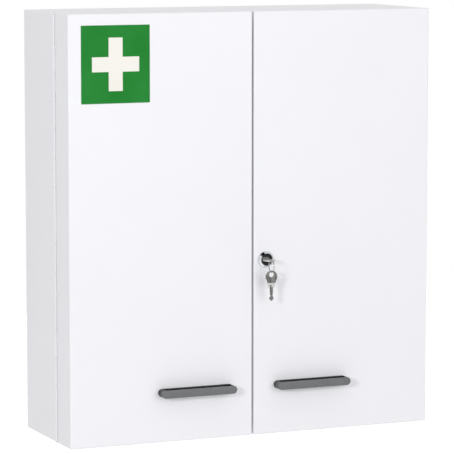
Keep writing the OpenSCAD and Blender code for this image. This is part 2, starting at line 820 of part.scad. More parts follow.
// A split ring of two coils side by side, each with its own wire end
module key_ring() {
    color(nickel) translate([lock_x, ring_y, ring_z]) rotate([0, 90, 0]) difference() {
        rotate_extrude($fn = 96) for (s = [-1, 1])
            translate([ring_mean_r, s * (coil_t - coil_overlap) / 2]) round_rect(ring_wire, coil_t, 0.25);
        for (s = [-1, 1]) rotate(90 + s * 20)
            translate([ring_mean_r, 0, s * coil_t]) cube([2 * ring_wire, 0.6, coil_t], center = true);
    }
}

carcass();
back_panel();
upright(-1, front_upright_y);  // left_front_upright
upright(-1, rear_upright_y);  // left_rear_upright
upright(1, front_upright_y);  // right_front_upright
upright(1, rear_upright_y);  // right_rear_upright
shelf(-shelf_step);  // lower_shelf
shelf(0);  // middle_shelf
shelf(shelf_step);  // upper_shelf
shelf_clips();
door_buffers();
body_leaf(-1);  // left_body_leaf
body_leaf(1);  // right_body_leaf
hinge_pin(-1);  // left_hinge_pin
hinge_pin(1);  // right_hinge_pin
left_door_shell();
door_leaf(-1);  // left_door_leaf
door_bin(-1, lower_bin_z);  // left_lower_bin
door_bin(-1, upper_bin_z);  // left_upper_bin
bottom_rail(-1);  // left_bottom_rail
handle(-1);  // left_handle
handle_screws(-1);  // left_handle_screws
sign_plate();
sign_cross();
bolt_guide();
bolt_guide_rivets();
bolt_bar();
bolt_knob();
right_door_shell();
door_leaf(1);  // right_door_leaf
door_bin(1, lower_bin_z);  // right_lower_bin
door_bin(1, upper_bin_z);  // right_upper_bin
bottom_rail(1);  // right_bottom_rail
handle(1);  // right_handle
handle_screws(1);  // right_handle_screws
lock_body();
lock_nut();
lock_plug();
lock_cam();
cam_screw();
inserted_key();
key_ring();
spare_key();
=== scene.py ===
"""Finishes, fine detail, light and camera for a lockable steel medicine cabinet.

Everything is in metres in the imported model's frame: +X right seen from the front, +Y into the
wall, +Z up, with the origin on the back face in the middle of the four wall holes.
"""

import logging
import math
from dataclasses import dataclass
from enum import Enum, IntEnum
from functools import cache
from typing import Callable, Iterable, Sequence

import bmesh
import bpy
from mathutils import Matrix, Vector
from mathutils.geometry import tessellate_polygon


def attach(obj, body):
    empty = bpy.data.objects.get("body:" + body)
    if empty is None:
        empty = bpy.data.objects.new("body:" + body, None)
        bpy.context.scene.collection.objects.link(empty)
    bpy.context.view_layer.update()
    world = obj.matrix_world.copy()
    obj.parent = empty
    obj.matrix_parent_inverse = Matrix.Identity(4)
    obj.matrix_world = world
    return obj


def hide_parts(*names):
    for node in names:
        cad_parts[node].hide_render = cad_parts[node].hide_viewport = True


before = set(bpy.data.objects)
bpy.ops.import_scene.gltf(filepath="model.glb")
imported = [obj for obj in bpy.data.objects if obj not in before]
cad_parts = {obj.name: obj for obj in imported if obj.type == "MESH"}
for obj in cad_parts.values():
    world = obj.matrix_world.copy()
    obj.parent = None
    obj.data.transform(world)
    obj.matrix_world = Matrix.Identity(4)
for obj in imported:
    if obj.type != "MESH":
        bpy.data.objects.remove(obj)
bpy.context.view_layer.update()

LOG = logging.getLogger("cabinet")
MM = 0.001
NOISE_RANGE = (0.3, 0.7)  # where nearly all of a noise texture's values lie
MITRE_LIMIT = 0.35  # keeps the mitre of a very sharp corner short
WELD = 1e-4  # millimetres within which two vertices become one

Flat = tuple[float, float]
Point = tuple[float, float, float]
Colour = tuple[float, float, float]


def from_srgb(red: int, green: int, blue: int) -> Colour:
    """Turn a display colour into the linear colour that shaders use.

    Args:
        red: Red, 0 to 255.
        green: Green, 0 to 255.
        blue: Blue, 0 to 255.

    Returns:
        The linear colour.
    """
    def channel(value: float) -> float:
        """Turn one display channel, 0 to 1, into linear light."""
        return value / 12.92 if value <= 0.04045 else ((value + 0.055) / 1.055) ** 2.4
    return channel(red / 255), channel(green / 255), channel(blue / 255)


def scaled(colour: Colour, factor: float) -> Colour:
    """Return the colour times a factor, kept within 0 to 1."""
    return tuple(min(1.0, max(0.0, part * factor)) for part in colour)


class Side(Enum):
    """The two sides of the cabinet, seen from the front."""

    LEFT = -1
    RIGHT = 1

    @property
    def word(self) -> str:
        """The side's name as the CAD nodes use it."""
        return self.name.lower()


# ---------------------------------------------------------------- finishes


class ShaderTree:
    """A small builder for one material's nodes, all of them in object space."""

    def __init__(self, name: str) -> None:
        """Start a material with one Principled shader.

        Args:
            name: The material's name.
        """
        self.material = bpy.data.materials.new(name)
        self.material.use_nodes = True
        self.nodes = self.material.node_tree.nodes
        self.links = self.material.node_tree.links
        self.surface = self.nodes["Principled BSDF"]
        self.space = self.nodes.new("ShaderNodeTexCoord").outputs["Object"]

    def constant(self, **sockets: float) -> None:
        """Set numbers on the Principled shader's own sockets.

        Args:
            **sockets: Socket names in lower case with underscores, and their values.
        """
        for key, value in sockets.items():
            name = key.replace("_", " ").title().replace("Ior", "IOR")
            self.surface.inputs[name].default_value = value

    def noise(self, scale: float, detail: float = 3.0, stretch: Point = (1, 1, 1)) -> bpy.types.NodeSocket:
        """Add a noise texture.

        Args:
            scale: Cells per metre.
            detail: Octaves of finer noise.
            stretch: Factors on the three directions, to draw the noise out into streaks.

        Returns:
            The noise's value socket.
        """
        mapping = self.nodes.new("ShaderNodeMapping")
        mapping.inputs["Scale"].default_value = stretch
        texture = self.nodes.new("ShaderNodeTexNoise")
        texture.inputs["Scale"].default_value = scale
        texture.inputs["Detail"].default_value = detail
        self.links.new(self.space, mapping.inputs["Vector"])
        self.links.new(mapping.outputs["Vector"], texture.inputs["Vector"])
        return texture.outputs["Fac"]

    def cells(self, scale: float) -> bpy.types.NodeSocket:
        """Add a texture of small cells, as the grain of a mould has.

        Args:
            scale: Cells per metre.

        Returns:
            The distance socket.
        """
        texture = self.nodes.new("ShaderNodeTexVoronoi")
        texture.inputs["Scale"].default_value = scale
        self.links.new(self.space, texture.inputs["Vector"])
        return texture.outputs["Distance"]

    def spread(self, value: bpy.types.NodeSocket, low: float, high: float) -> bpy.types.NodeSocket:
        """Map a noise value onto a wanted range.

        Args:
            value: The socket to map.
            low: What the low end of NOISE_RANGE becomes.
            high: What its high end becomes.

        Returns:
            The mapped socket.
        """
        node = self.nodes.new("ShaderNodeMapRange")
        limits = zip(("From Min", "From Max", "To Min", "To Max"), (*NOISE_RANGE, low, high))
        for socket, limit in limits:
            node.inputs[socket].default_value = limit
        self.links.new(value, node.inputs["Value"])
        return node.outputs["Result"]

    def colour_between(self, value: bpy.types.NodeSocket, first: Colour, second: Colour) -> None:
        """Drive the base colour between two colours.

        Args:
            value: A noise socket.
            first: The colour where the noise is low.
            second: The colour where the noise is high.
        """
        ramp = self.nodes.new("ShaderNodeValToRGB")
        for stop, place, colour in zip(ramp.color_ramp.elements, NOISE_RANGE, (first, second)):
            stop.position = place
            stop.color = (*colour, 1)
        self.links.new(value, ramp.inputs["Fac"])
        self.links.new(ramp.outputs["Color"], self.surface.inputs["Base Color"])

    def paint_hollow_shade(self, reach: float, power: float) -> None:
        """Paint shade into the base colour where other surfaces close it in, as an ambient occlusion node
        finds them.

        Args:
            reach: How near the other surfaces are, in metres.
            power: How fast it darkens.
        """
        closed_in = self.nodes.new("ShaderNodeAmbientOcclusion")
        closed_in.inputs["Distance"].default_value = reach
        curve = self.nodes.new("ShaderNodeMath")
        curve.operation = "POWER"
        curve.inputs[1].default_value = power
        shade = self.nodes.new("ShaderNodeVectorMath")
        shade.operation = "SCALE"
        self.links.new(closed_in.outputs["AO"], curve.inputs[0])
        self.links.new(self.surface.inputs["Base Color"].links[0].from_socket, shade.inputs["Vector"])
        self.links.new(curve.outputs["Value"], shade.inputs["Scale"])
        self.links.new(shade.outputs["Vector"], self.surface.inputs["Base Color"])

    def roughness_between(self, value: bpy.types.NodeSocket, low: float, high: float) -> None:
        """Drive the roughness between two values by a noise socket."""
        self.links.new(self.spread(value, low, high), self.surface.inputs["Roughness"])

    def bump(self, value: bpy.types.NodeSocket, height: float, strength: float = 1.0,
             over: bpy.types.NodeSocket | None = None) -> bpy.types.NodeSocket:
        """Add a bump from a height socket.

        Args:
            value: The height socket.
            height: The bump's height in metres.
            strength: How much of it is used.
            over: The normal of a coarser bump below this one.

        Returns:
            The normal socket, which is also linked to the shader.
        """
        node = self.nodes.new("ShaderNodeBump")
        node.inputs["Distance"].default_value = height
        node.inputs["Strength"].default_value = strength
        self.links.new(value, node.inputs["Height"])
        if over is not None:
            self.links.new(over, node.inputs["Normal"])
        self.links.new(node.outputs["Normal"], self.surface.inputs["Normal"])
        return node.outputs["Normal"]


@dataclass(frozen=True)
class PowderCoat:
    """Satin powder coat on sheet steel, with a faint orange peel.

    Attributes:
        name: The material's name.
        colour: The coat's colour.
    """

    name: str
    colour: Colour

    def material(self) -> bpy.types.Material:
        """Make the coat's material."""
        tree = ShaderTree(self.name)
        tree.colour_between(tree.noise(7, detail=4), scaled(self.colour, 0.985), self.colour)
        tree.roughness_between(tree.noise(40, detail=5), low=0.36, high=0.46)
        waves = tree.bump(tree.noise(420, detail=2), height=0.00005, strength=0.35)
        tree.bump(tree.noise(1500), height=0.00002, strength=0.4, over=waves)
        tree.constant(specular_ior_level=0.42, coat_weight=0.12, coat_roughness=0.22)
        return tree.material


@dataclass(frozen=True)
class PrintedSign:
    """Printed film on the sign, with a slight mottle in the ink.

    Attributes:
        name: The material's name.
        first: The ink's colour where it is thinner.
        second: The ink's colour where it is thicker.
    """

    name: str
    first: Colour
    second: Colour

    def material(self) -> bpy.types.Material:
        """Make the print's material."""
        tree = ShaderTree(self.name)
        tree.colour_between(tree.noise(26, detail=6), self.first, self.second)
        tree.roughness_between(tree.noise(90, detail=4), low=0.34, high=0.44)
        tree.bump(tree.noise(700), height=0.00002, strength=0.3)
        tree.constant(specular_ior_level=0.12)
        return tree.material


@dataclass(frozen=True)
class MouldedPlastic:
    """Moulded plastic with a fine spark grain, and painted shade in its hollows.

    Attributes:
        name: The material's name.
        colour: The plastic's colour.
        grain: Grain cells per metre.
        hollow_shade_reach: Depth in metres over which painted shade darkens the hollows.
    """

    name: str
    colour: Colour
    grain: float = 2600
    hollow_shade_reach: float = 0.02

    def material(self) -> bpy.types.Material:
        """Make the plastic's material."""
        tree = ShaderTree(self.name)
        tree.colour_between(tree.noise(60, detail=5), scaled(self.colour, 0.93), scaled(self.colour, 1.05))
        # painted shade: darkens the colour in the finger trough and where the handle meets the door
        tree.paint_hollow_shade(self.hollow_shade_reach, power=3.2)
        tree.roughness_between(tree.noise(300), low=0.44, high=0.56)
        tree.bump(tree.cells(self.grain), height=0.00006, strength=0.35)
        tree.constant(specular_ior_level=0.25)
        return tree.material


@dataclass(frozen=True)
class PlatedMetal:
    """Plated or polished metal with fine rub marks.

    Attributes:
        name: The material's name.
        colour: The metal's colour.
        polish: The roughness where it is most polished.
        dull: The roughness where it is dullest.
        streak: Factors that draw the rub marks out along a direction.
    """

    name: str
    colour: Colour
    polish: float
    dull: float
    streak: Point = (1, 1, 1)

    def material(self) -> bpy.types.Material:
        """Make the metal's material."""
        tree = ShaderTree(self.name)
        tree.colour_between(tree.noise(110, detail=4), scaled(self.colour, 0.9), scaled(self.colour, 1.06))
        tree.roughness_between(tree.noise(240, detail=5, stretch=self.streak), self.polish, self.dull)
        tree.bump(tree.noise(900, detail=4, stretch=self.streak), height=0.00002, strength=0.35)
        tree.constant(metallic=1.0)
        return tree.material


@dataclass(frozen=True)
class Rubber:
    """Matt black rubber with a dusty bloom.

    Attributes:
        name: The material's name.
        colour: The rubber's colour.
    """

    name: str
    colour: Colour

    def material(self) -> bpy.types.Material:
        """Make the rubber's material."""
        tree = ShaderTree(self.name)
        tree.colour_between(tree.noise(400, detail=4), self.colour, scaled(self.colour, 2.2))
        tree.roughness_between(tree.noise(800), low=0.7, high=0.85)
        tree.bump(tree.noise(2500, detail=2), height=0.00004, strength=0.4)
        tree.constant(specular_ior_level=0.3)
        return tree.material


class Finish(Enum):
    """The finishes of the cabinet, each with the record's slot that it belongs to."""

    WHITE_COAT = (PowderCoat("satin_white_coat", from_srgb(246, 246, 250)), "white_powder_coat")
    GREEN_PRINT = (PrintedSign("green_print", from_srgb(18, 128, 38), from_srgb(32, 135, 50)), "sign_green")
    WHITE_PRINT = (
        PrintedSign("white_print", from_srgb(245, 242, 233), from_srgb(248, 246, 239)), "sign_white",
    )
    GREY_PLASTIC = (MouldedPlastic("moulded_grey", from_srgb(113, 115, 116)), "grey_plastic")
    CHROME = (PlatedMetal("bright_chrome", (0.66, 0.67, 0.69), 0.05, 0.12), "chrome_plate")
    # A darker copy of the chrome for the lock's plug: painted shade of its recessed face.
    SMOKED_CHROME = (PlatedMetal("smoked_chrome", (0.17, 0.17, 0.18), 0.1, 0.22), "chrome_plate")
    ZINC = (PlatedMetal("satin_zinc", (0.55, 0.56, 0.58), 0.24, 0.4, (1, 1, 0.2)), "zinc_plate")
    DULL_NICKEL = (PlatedMetal("rubbed_nickel", (0.33, 0.33, 0.32), 0.2, 0.34, (1, 1, 0.15)), "key_nickel")
    # A brighter copy of the key's nickel: painted highlight on the collar and on the rim of the key in the
    # lock.
    HIGHLIGHT_NICKEL = (PlatedMetal("highlight_nickel", (0.55, 0.55, 0.53), 0.38, 0.46), "key_nickel")
    # A darker copy of the key's nickel, on the blade.
    DARKER_NICKEL = (PlatedMetal("darker_nickel", (0.27, 0.27, 0.26), 0.28, 0.4, (1, 1, 0.2)), "key_nickel")
    # A near-black copy of the key's nickel: painted shade in the milled grooves.
    GROOVE_SHADE = (PlatedMetal("groove_shade_nickel", (0.09, 0.09, 0.085), 0.4, 0.55), "key_nickel")
    POLISHED_STEEL = (PlatedMetal("polished_steel", (0.42, 0.42, 0.41), 0.05, 0.12), "key_nickel")
    RUBBER = (Rubber("matt_rubber", (0.02, 0.02, 0.021)), "black_rubber")

    def __init__(self, recipe: object, slot: str) -> None:
        """Keep the recipe and the slot's name."""
        self.recipe = recipe
        self.slot = slot

    @cache
    def material(self) -> bpy.types.Material:
        """Return the finish's material, made once."""
        return self.recipe.material()


# ---------------------------------------------------------------- mesh tools


def shifted(loop: Sequence[Flat], amount: float) -> list[Flat]:
    """Move a closed loop to its left, with mitred corners.

    Args:
        loop: The loop's points.
        amount: How far each side moves.

    Returns:
        The moved loop.
    """
    moved = []
    for before, here, after in zip((*loop[-1:], *loop[:-1]), loop, (*loop[1:], *loop[:1])):
        first = (Vector(here) - Vector(before)).normalized()
        second = (Vector(after) - Vector(here)).normalized()
        left = Vector((-first.y - second.y, first.x + second.x)).normalized()
        reach = amount / max(MITRE_LIMIT, left.x * -first.y + left.y * first.x)
        moved.append((here[0] + left.x * reach, here[1] + left.y * reach))
    return moved


def arc(centre: Flat, radius: float, start: float, end: float, steps: int) -> list[Flat]:
    """Return points along an arc.

    Args:
        centre: The arc's centre.
        radius: Its radius.
        start: The angle of its first point, in degrees.
        end: The angle of its last point.
        steps: Number of stretches between its points.

    Returns:
        The points, from start to end.
    """
    turns = [math.radians(start + (end - start) * k / steps) for k in range(steps + 1)]
    return [(centre[0] + radius * math.cos(a), centre[1] + radius * math.sin(a)) for a in turns]


def round_rect(width: float, height: float, radius: float, steps: int = 5) -> list[Flat]:
    """Return an anticlockwise rectangle about the origin with round corners.

    Args:
        width: Its width.
        height: Its height.
        radius: The corners' radius.
        steps: Stretches in each corner.

    Returns:
        The points.
    """
    x, y = width / 2 - radius, height / 2 - radius
    corners = (((x, -y), -90), ((x, y), 0), ((-x, y), 90), ((-x, -y), 180))
    return [point for centre, start in corners for point in arc(centre, radius, start, start + 90, steps)]


def rounding(edge: float, steps: int = 4) -> list[Flat]:
    """Return the profile of a rounded edge.

    Args:
        edge: The edge's radius.
        steps: Stretches along it.

    Returns:
        Pairs of how far in and how far down, from the flat face round to the side.
    """
    turns = [math.pi / 2 * k / steps for k in range(steps + 1)]
    return [(edge * (1 - math.sin(a)), edge * (1 - math.cos(a))) for a in turns]


class Form:
    """A mesh under construction, in millimetres and in axes of its own."""

    def __init__(self) -> None:
        """Start empty."""
        self.mesh = bmesh.new()

    def skin(self, rings: Sequence[Sequence[Point]], around: bool = False) -> list[list[bmesh.types.BMVert]]:
        """Join rings of equally many points by rows of faces.

        Args:
            rings: The rings, each a closed loop.
            around: Whether the last ring is joined to the first.

        Returns:
            The rings' vertices.
        """
        loops = [[self.mesh.verts.new(point) for point in ring] for ring in rings]
        following = loops[1:] + (loops[:1] if around else [])
        for near, far in zip(loops, following):
            for k, corner in enumerate(near):
                after = (k + 1) % len(near)
                self.mesh.faces.new((corner, near[after], far[after], far[k]))
        return loops

    def loft(self, rings: Sequence[Sequence[Point]]) -> None:
        """Join rings by rows of faces and close both ends.

        Args:
            rings: The rings, each a closed loop.
        """
        loops = self.skin(rings)
        self.mesh.faces.new(loops[0])
        self.mesh.faces.new(loops[-1])

    def plate(self, outline: Sequence[Flat], holes: Sequence[Sequence[Flat]],
              thick: float, edge: float) -> None:
        """Add a flat plate in the XY plane with rounded edges.

        Args:
            outline: Its anticlockwise outline.
            holes: Clockwise holes.
            thick: Its thickness.
            edge: The radius of its edges.
        """
        upper = [(into, thick / 2 - down) for into, down in rounding(edge)]
        layers = [(into, -height) for into, height in upper] + upper[::-1]
        faces = {0: [], -1: []}
        for loop in (outline, *holes):
            rings = [[(x, y, height) for x, y in shifted(loop, into)] for into, height in layers]
            loops = self.skin(rings)
            for end, kept in faces.items():
                kept.append(loops[end])
        for kept in faces.values():
            corners = [corner for loop in kept for corner in loop]
            for triangle in tessellate_polygon([[corner.co for corner in loop] for loop in kept]):
                self.mesh.faces.new([corners[k] for k in triangle])

    def slice_at(self, places: Iterable[float]) -> None:
        """Add edges across the form.

        Args:
            places: Where they are along y.
        """
        for place in places:
            everything = self.mesh.verts[:] + self.mesh.edges[:] + self.mesh.faces[:]
            bmesh.ops.bisect_plane(self.mesh, geom=everything, plane_co=(0, place, 0), plane_no=(0, 1, 0))

    def combine(self, other: "Form", operation: str) -> None:
        """Cut another form out of this one, or fuse it on.

        Args:
            other: The other form, which is used up.
            operation: DIFFERENCE or UNION.
        """
        pair = []
        for form in (self, other):
            bmesh.ops.recalc_face_normals(form.mesh, faces=form.mesh.faces)
            data = bpy.data.meshes.new("shaping")
            form.mesh.to_mesh(data)
            form.mesh.free()
            pair.append(bpy.data.objects.new("shaping", data))
            bpy.context.scene.collection.objects.link(pair[-1])
        cut = pair[0].modifiers.new("shaping", "BOOLEAN")
        cut.operation, cut.solver, cut.object = operation, "EXACT", pair[1]
        shaped = pair[0].evaluated_get(bpy.context.evaluated_depsgraph_get())
        self.mesh = bmesh.new()
        self.mesh.from_mesh(shaped.to_mesh())
        shaped.to_mesh_clear()
        for used in pair:
            data = used.data
            bpy.data.objects.remove(used)
            bpy.data.meshes.remove(data)

    def finished(self, name: str, place: Matrix, smooth_below: float = 32.0) -> bpy.types.Mesh:
        """Turn the form into a mesh in metres in the model's frame.

        Args:
            name: The mesh's name.
            place: Where the form's axes are in the model's frame, in millimetres.
            smooth_below: Edges under this angle, in degrees, are shaded smooth.

        Returns:
            The mesh.
        """
        bmesh.ops.remove_doubles(self.mesh, verts=self.mesh.verts, dist=WELD)
        self.mesh.transform(Matrix.Scale(MM, 4) @ place)
        bmesh.ops.recalc_face_normals(self.mesh, faces=self.mesh.faces)
        data = bpy.data.meshes.new(name)
        self.mesh.to_mesh(data)
        self.mesh.free()
        data.shade_smooth()
        data.set_sharp_from_angle(angle=math.radians(smooth_below))
        return data


def axes_at(origin: Point, x_axis: Point, y_axis: Point) -> Matrix:
    """Return the matrix of a form's axes in the model's frame.

    Args:
        origin: Where the form's origin is.
        x_axis: Where its x axis points.
        y_axis: Where its y axis points.

    Returns:
        The matrix.
    """
    across, along = Vector(x_axis), Vector(y_axis)
    columns = Matrix((across, along, across.cross(along))).transposed()
    return Matrix.Translation(origin) @ columns.to_4x4()


def dress_node(name: str, finish: Finish) -> None:
    """Give a CAD node its finish.

    Args:
        name: The node's name.
        finish: The finish for all of the node.
    """
    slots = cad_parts[name].data.materials
    slots.clear()
    slots.append(finish.material())


def dress_nodes(names: Iterable[str], finish: Finish) -> None:
    """Give several CAD nodes the same finish."""
    for name in names:
        dress_node(name, finish)
        LOG.info("dressed %s in %s", name, finish.name.lower())


def node_box(name: str) -> tuple[Vector, Vector]:
    """Return the least and the greatest corner of a CAD node, in millimetres.

    Args:
        name: The node's name.

    Returns:
        Both corners in the model's frame.
    """
    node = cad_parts[name]
    corners = [node.matrix_world @ Vector(corner) / MM for corner in node.bound_box]
    return Vector(map(min, *corners)), Vector(map(max, *corners))


def add_piece(name: str, mesh: bpy.types.Mesh, body: str, finishes: Sequence[Finish], replaced: str) -> None:
    """Put a modelled piece into the scene on a CAD body, in place of a CAD node.

    Args:
        name: The piece's name.
        mesh: The piece's mesh, in the model's frame.
        body: The CAD body that it rides on.
        finishes: The piece's finishes, in the order of its material slots.
        replaced: The CAD node that it stands for.
    """
    piece = bpy.data.objects.new(name, mesh)
    bpy.context.scene.collection.objects.link(piece)
    for finish in finishes:
        mesh.materials.append(finish.material())
    flat = piece.modifiers.new("flat_faces", "WEIGHTED_NORMAL")
    flat.keep_sharp = True
    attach(piece, body)
    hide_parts(replaced)
    LOG.info("built %s with %d faces on %s", name, len(mesh.polygons), body)


# ---------------------------------------------------------------- sub-assemblies


@dataclass
class BodyShell:
    """The folded body with its back, uprights, shelves, clips and buffers.

    Attributes:
        painted: The nodes that are powder coated.
        plated: The nodes that are zinc plated.
    """

    painted: tuple[str, ...] = ("carcass", "back_panel", "lower_shelf", "middle_shelf", "upper_shelf")
    plated: tuple[str, ...] = (
        "left_front_upright", "left_rear_upright", "right_front_upright", "right_rear_upright", "shelf_clips",
    )

    def dress(self) -> None:
        """Give the body's nodes their finishes."""
        dress_nodes(self.painted, Finish.WHITE_COAT)
        dress_nodes(self.plated, Finish.ZINC)
        dress_nodes(("door_buffers",), Finish.RUBBER)


@dataclass
class ContinuousHinge:
    """One continuous hinge: two leaves and their pin.

    Attributes:
        side: The side of the cabinet.
    """

    side: Side

    def dress(self) -> None:
        """Give the leaves and the pin their finishes."""
        word = self.side.word
        dress_nodes((f"{word}_body_leaf", f"{word}_door_leaf"), Finish.WHITE_COAT)
        dress_nodes((f"{word}_hinge_pin",), Finish.ZINC)


@dataclass
class TrayDoor:
    """One deep door with its bins, rail and handle screws.

    Attributes:
        side: The side of the cabinet.
    """

    side: Side

    def dress(self) -> None:
        """Give the door's nodes their finishes."""
        word = self.side.word
        dress_nodes((f"{word}_door_shell", f"{word}_lower_bin", f"{word}_upper_bin", f"{word}_bottom_rail"),
                    Finish.WHITE_COAT)
        dress_nodes((f"{word}_handle_screws",), Finish.ZINC)


@dataclass
class TroughHandle:
    """A moulded handle with a finger trough that is open at the top. Sizes are in millimetres.

    Its own axes: x along the handle, y up and z out of the door.

    Attributes:
        side: The side of the cabinet.
        centre_x: Distance of its middle from the middle of the cabinet.
        centre_z: Height of its middle.
        door_y: Place of the door's face.
        length: Its length.
        height: Its height.
        out: How far it stands out.
        front: Thickness of its front wall.
        back: Thickness of its back wall.
        floor: Thickness under the trough.
        trough_end: Solid left at each end of the trough.
        trough_corner: Radius of the trough's corners.
        edge: Radius of its front edge.
        crown: How much its front bulges.
        screw_gap: Distance between its two screws.
        boss_radius: Radius of the screw bosses.
        boss_length: Their length from the door.
        boss_edge: Radius of the edge at their end.
        screw_radius: Radius of the screw holes.
        screw_depth: Depth of the screw holes.
        screw_edge: Radius of the edge at their bottom.
        foot: Radius of its edge at the door.
        trough_fillet: Radius between the trough's walls and its floor.
        lip: Radius of the trough's upper edge.
    """

    side: Side
    centre_x: float = 88.4
    centre_z: float = -229.5
    door_y: float = -180.0
    length: float = 113.0
    height: float = 11.4
    out: float = 19.0
    front: float = 3.5
    back: float = 2.5
    floor: float = 2.8
    trough_end: float = 5.5
    trough_corner: float = 2.5
    edge: float = 1.5
    crown: float = 0.35
    screw_gap: float = 84.0
    boss_radius: float = 3.25
    boss_length: float = 11.4
    boss_edge: float = 0.5
    screw_radius: float = 1.8
    screw_depth: float = 10.0
    screw_edge: float = 0.3
    foot: float = 0.3
    trough_fillet: float = 1.2
    lip: float = 0.6

    def stadium(self, inset: float, out: float) -> list[Point]:
        """Return the handle's outline.

        Args:
            inset: How far inside the full outline it is.
            out: Its distance from the door.

        Returns:
            The ring.
        """
        half_run, radius = (self.length - self.height) / 2, self.height / 2 - inset
        ends = arc((half_run, 0), radius, -90, 90, 20) + arc((-half_run, 0), radius, 90, 270, 20)
        return [(x, y, out) for x, y in ends]

    def shell(self) -> Form:
        """Make the outer form, with a rounded front edge and a slightly bulging front."""
        steps = 6
        rim = [(into, self.out - self.crown - down) for into, down in reversed(rounding(self.edge, steps))]
        full = self.height / 2 - self.edge
        bulge = [(self.edge + full * k / steps, self.out - self.crown * (1 - k / steps) ** 2)
                 for k in range(1, steps)]
        form = Form()
        form.loft([self.stadium(inset, out) for inset, out in rounding(self.foot, 2) + rim + bulge])
        return form

    def trough(self) -> Form:
        """Make the form of the finger trough, with a rounded floor and lip."""
        depth = self.out - self.front - self.back
        middle = self.back + depth / 2
        outline = round_rect(self.length - 2 * self.trough_end, depth, self.trough_corner)
        bottom, top = self.floor - self.height / 2, self.height / 2
        beyond = 2.0
        levels = [(into, bottom + down) for into, down in rounding(self.trough_fillet)]
        levels += [(down - self.lip, top + into - self.lip) for into, down in reversed(rounding(self.lip))]
        levels.append((levels[-1][0], top + beyond))
        form = Form()
        form.loft([[(x, up, middle + z) for x, z in shifted(outline, inset)] for inset, up in levels])
        return form

    def rod(self, x: float, radius: float, start: float, end: float, edge: float) -> Form:
        """Make a round rod along z with a rounded end.

        Args:
            x: Its place along the handle.
            radius: Its radius.
            start: Where it starts.
            end: Where it ends.
            edge: The radius of its far edge.

        Returns:
            The form.
        """
        sides = 16
        last = 360 - 360 / sides
        layers = [(0.0, start)] + [(into, end - down) for into, down in reversed(rounding(edge, 3))]
        form = Form()
        form.loft([[(*point, z) for point in arc((x, 0), radius - into, 0, last, sides - 1)]
                   for into, z in layers])
        return form

    def build(self) -> None:
        """Make the handle and put it on its door."""
        form = self.shell()
        form.combine(self.trough(), "DIFFERENCE")
        below_door = -1.0
        for x in (-self.screw_gap / 2, self.screw_gap / 2):
            boss = self.rod(x, self.boss_radius, self.back / 2, self.boss_length, self.boss_edge)
            form.combine(boss, "UNION")
            hole = self.rod(x, self.screw_radius, below_door, self.screw_depth, self.screw_edge)
            form.combine(hole, "DIFFERENCE")
        place = axes_at((self.side.value * self.centre_x, self.door_y, self.centre_z), (1, 0, 0), (0, 0, 1))
        word = self.side.word
        add_piece(f"{word}_trough_handle", form.finished(f"{word}_trough_handle", place), f"{word}_door",
                  [Finish.GREY_PLASTIC], f"{word}_handle")


@dataclass
class FirstAidSign:
    """The green sign with its white cross."""

    def dress(self) -> None:
        """Give the sign and the cross their prints."""
        dress_nodes(("sign_plate",), Finish.GREEN_PRINT)
        dress_nodes(("sign_cross",), Finish.WHITE_PRINT)


@dataclass
class SlideBolt:
    """The slide bolt that holds the left door."""

    def dress(self) -> None:
        """Give the bolt's nodes their finish."""
        dress_nodes(("bolt_guide", "bolt_guide_rivets", "bolt_bar", "bolt_knob"), Finish.ZINC)


